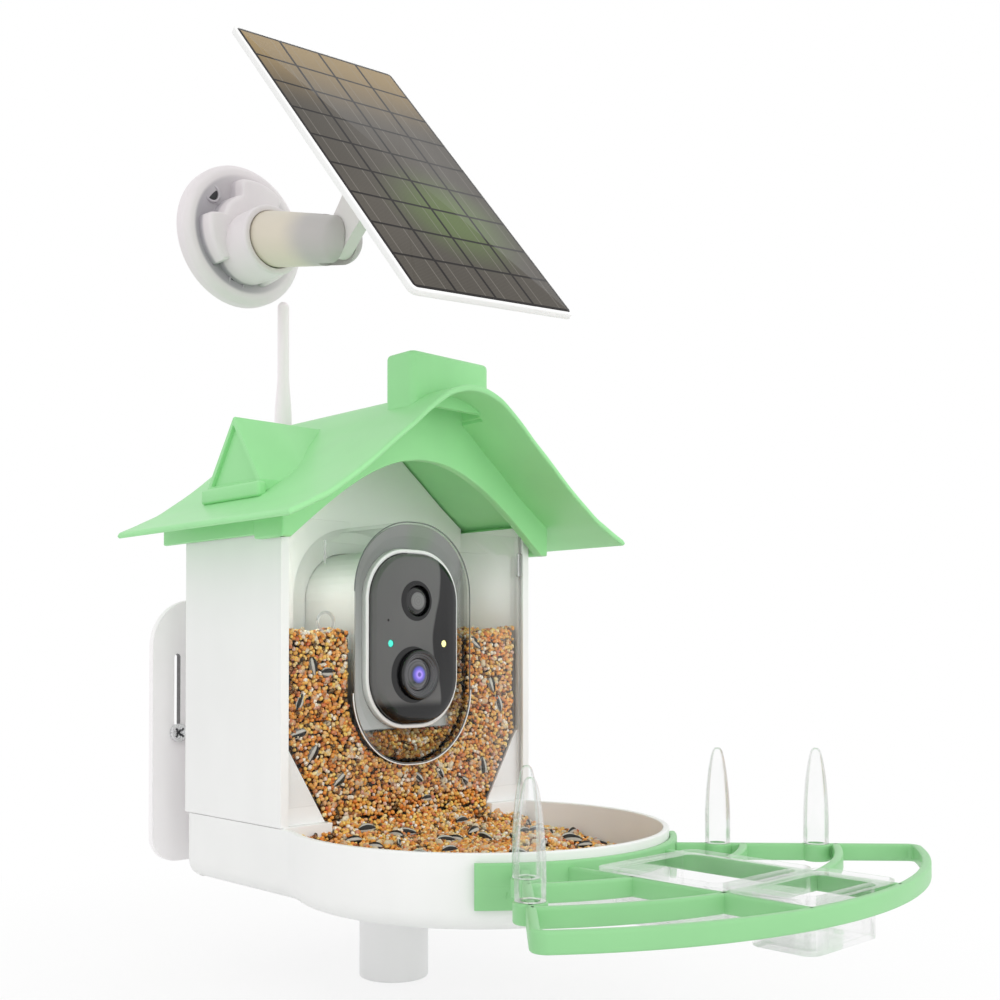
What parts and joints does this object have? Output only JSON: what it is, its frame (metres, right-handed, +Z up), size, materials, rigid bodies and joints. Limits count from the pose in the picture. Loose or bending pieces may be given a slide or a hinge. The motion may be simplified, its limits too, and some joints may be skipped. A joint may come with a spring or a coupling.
{
  "type": "smart bird feeder",
  "caption": "House-shaped bird feeder with a camera, seed tray, clip-on perch frame with cups and fruit spikes, wall plate and a tilting solar panel on a wall arm.",
  "frame": {"origin": "middle of the wall plate's back face, on the wall's surface", "axes": "+X to the right seen from the front, +Y into the wall, +Z up; the feeder looks along -Y"},
  "size_m": [0.263, 0.375, 0.494],
  "materials": {
    "white_plastic": "satin moulded white",
    "green_plastic": "light green moulded",
    "clear_plastic": "clear moulded",
    "smoky_clear": "smoky clear moulded",
    "seed_mix": "mixed millet and sunflower seed",
    "black_gloss": "polished black",
    "dark_plastic": "dark grey moulded",
    "sensor_plastic": "dark domed sensor window",
    "lens_glass": "coated lens",
    "cyan_led": "lit cyan",
    "warm_led": "lit warm white",
    "circuit": "green circuit board",
    "battery_wrap": "shrink wrap",
    "black_rubber": "matt",
    "screw_steel": "plain steel",
    "solar_glass": "dark cells under a clear face"
  },
  "bodies": {
    "feeder_house": {"wall_plate": "white_plastic", "wall_screw_1": "screw_steel", "wall_screw_2": "screw_steel", "house": "white_plastic", "tray": "white_plastic", "house_screw_1": "screw_steel", "house_screw_2": "screw_steel", "house_screw_3": "screw_steel", "house_screw_4": "screw_steel", "pole_socket": "white_plastic", "pole_socket_screw_1": "screw_steel", "pole_socket_screw_2": "screw_steel", "pole_socket_screw_3": "screw_steel", "front_window": "clear_plastic", "camera_tunnel": "smoky_clear", "hopper_seed": "seed_mix", "tray_seed": "seed_mix", "camera_bezel": "white_plastic", "camera_face": "black_gloss", "face_seal": "black_rubber", "lens_barrel": "dark_plastic", "lens_glass": "lens_glass", "motion_sensor": "sensor_plastic", "status_light": "cyan_led", "night_light": "warm_led", "camera_shell": "dark_plastic", "circuit_board": "circuit", "image_sensor": "dark_plastic", "speaker": "dark_plastic", "battery_cradle": "dark_plastic", "battery_left": "battery_wrap", "battery_right": "battery_wrap", "rear_cover": "white_plastic", "rear_cover_screw_1": "screw_steel", "rear_cover_screw_2": "screw_steel", "rear_cover_screw_3": "screw_steel", "rear_cover_screw_4": "screw_steel", "antenna_base": "white_plastic", "solar_base": "white_plastic"},
    "roof_lid": {"roof": "green_plastic"},
    "antenna_rod": {"antenna": "white_plastic"},
    "power_key": {"power_button": "dark_plastic"},
    "port_cover": {"port_flap": "black_rubber"},
    "perch": {"perch_frame": "green_plastic", "fruit_spike_left_inner": "clear_plastic", "fruit_spike_left_outer": "clear_plastic", "fruit_spike_right_inner": "clear_plastic", "fruit_spike_right_outer": "clear_plastic"},
    "cup_inner_body": {"cup_inner": "clear_plastic"},
    "cup_outer_body": {"cup_outer": "clear_plastic"},
    "solar_arm_body": {"solar_arm": "white_plastic", "knuckle_pin": "screw_steel"},
    "solar_panel": {"panel_bracket": "white_plastic", "panel_back_box": "white_plastic", "panel_frame": "white_plastic", "panel_cells": "solar_glass"}
  },
  "joints": [
    {"name": "roof_lift", "type": "slide", "parent": "feeder_house", "child": "roof_lid", "axis": [0, 0, 1], "range_m": [0, 0.035]},
    {"name": "antenna_turn", "type": "hinge", "parent": "feeder_house", "child": "antenna_rod", "pos_m": [-0.015, -0.0137, 0.085], "axis": [0, 0, 1], "range_deg": [-175, 175]},
    {"name": "power_press", "type": "slide", "parent": "feeder_house", "child": "power_key", "axis": [0, -1, 0], "range_m": [0, 0.0012], "stiffness_N_per_m": 600, "springref_m": -0.001},
    {"name": "port_cover_swing", "type": "hinge", "parent": "feeder_house", "child": "port_cover", "pos_m": [0, -0.0229, 0.0255], "axis": [1, 0, 0], "range_deg": [0, 90]},
    {"name": "perch_unclip", "type": "slide", "parent": "feeder_house", "child": "perch", "axis": [0, -1, 0], "range_m": [0, 0.025]},
    {"name": "cup_inner_lift", "type": "slide", "parent": "perch", "child": "cup_inner_body", "axis": [0, 0, 1], "range_m": [0, 0.03]},
    {"name": "cup_outer_lift", "type": "slide", "parent": "perch", "child": "cup_outer_body", "axis": [0, 0, 1], "range_m": [0, 0.03]},
    {"name": "solar_arm_swivel", "type": "hinge", "parent": "feeder_house", "child": "solar_arm_body", "pos_m": [-0.0375, -0.037, 0.27357], "axis": [0, -0.969, -0.247], "range_deg": [-25, 25]},
    {"name": "panel_tilt", "type": "hinge", "parent": "solar_arm_body", "child": "solar_panel", "pos_m": [-0.0375, -0.09756, 0.25813], "axis": [0.9971, -0.0189, 0.0743], "range_deg": [-38, 5]}
  ]
}
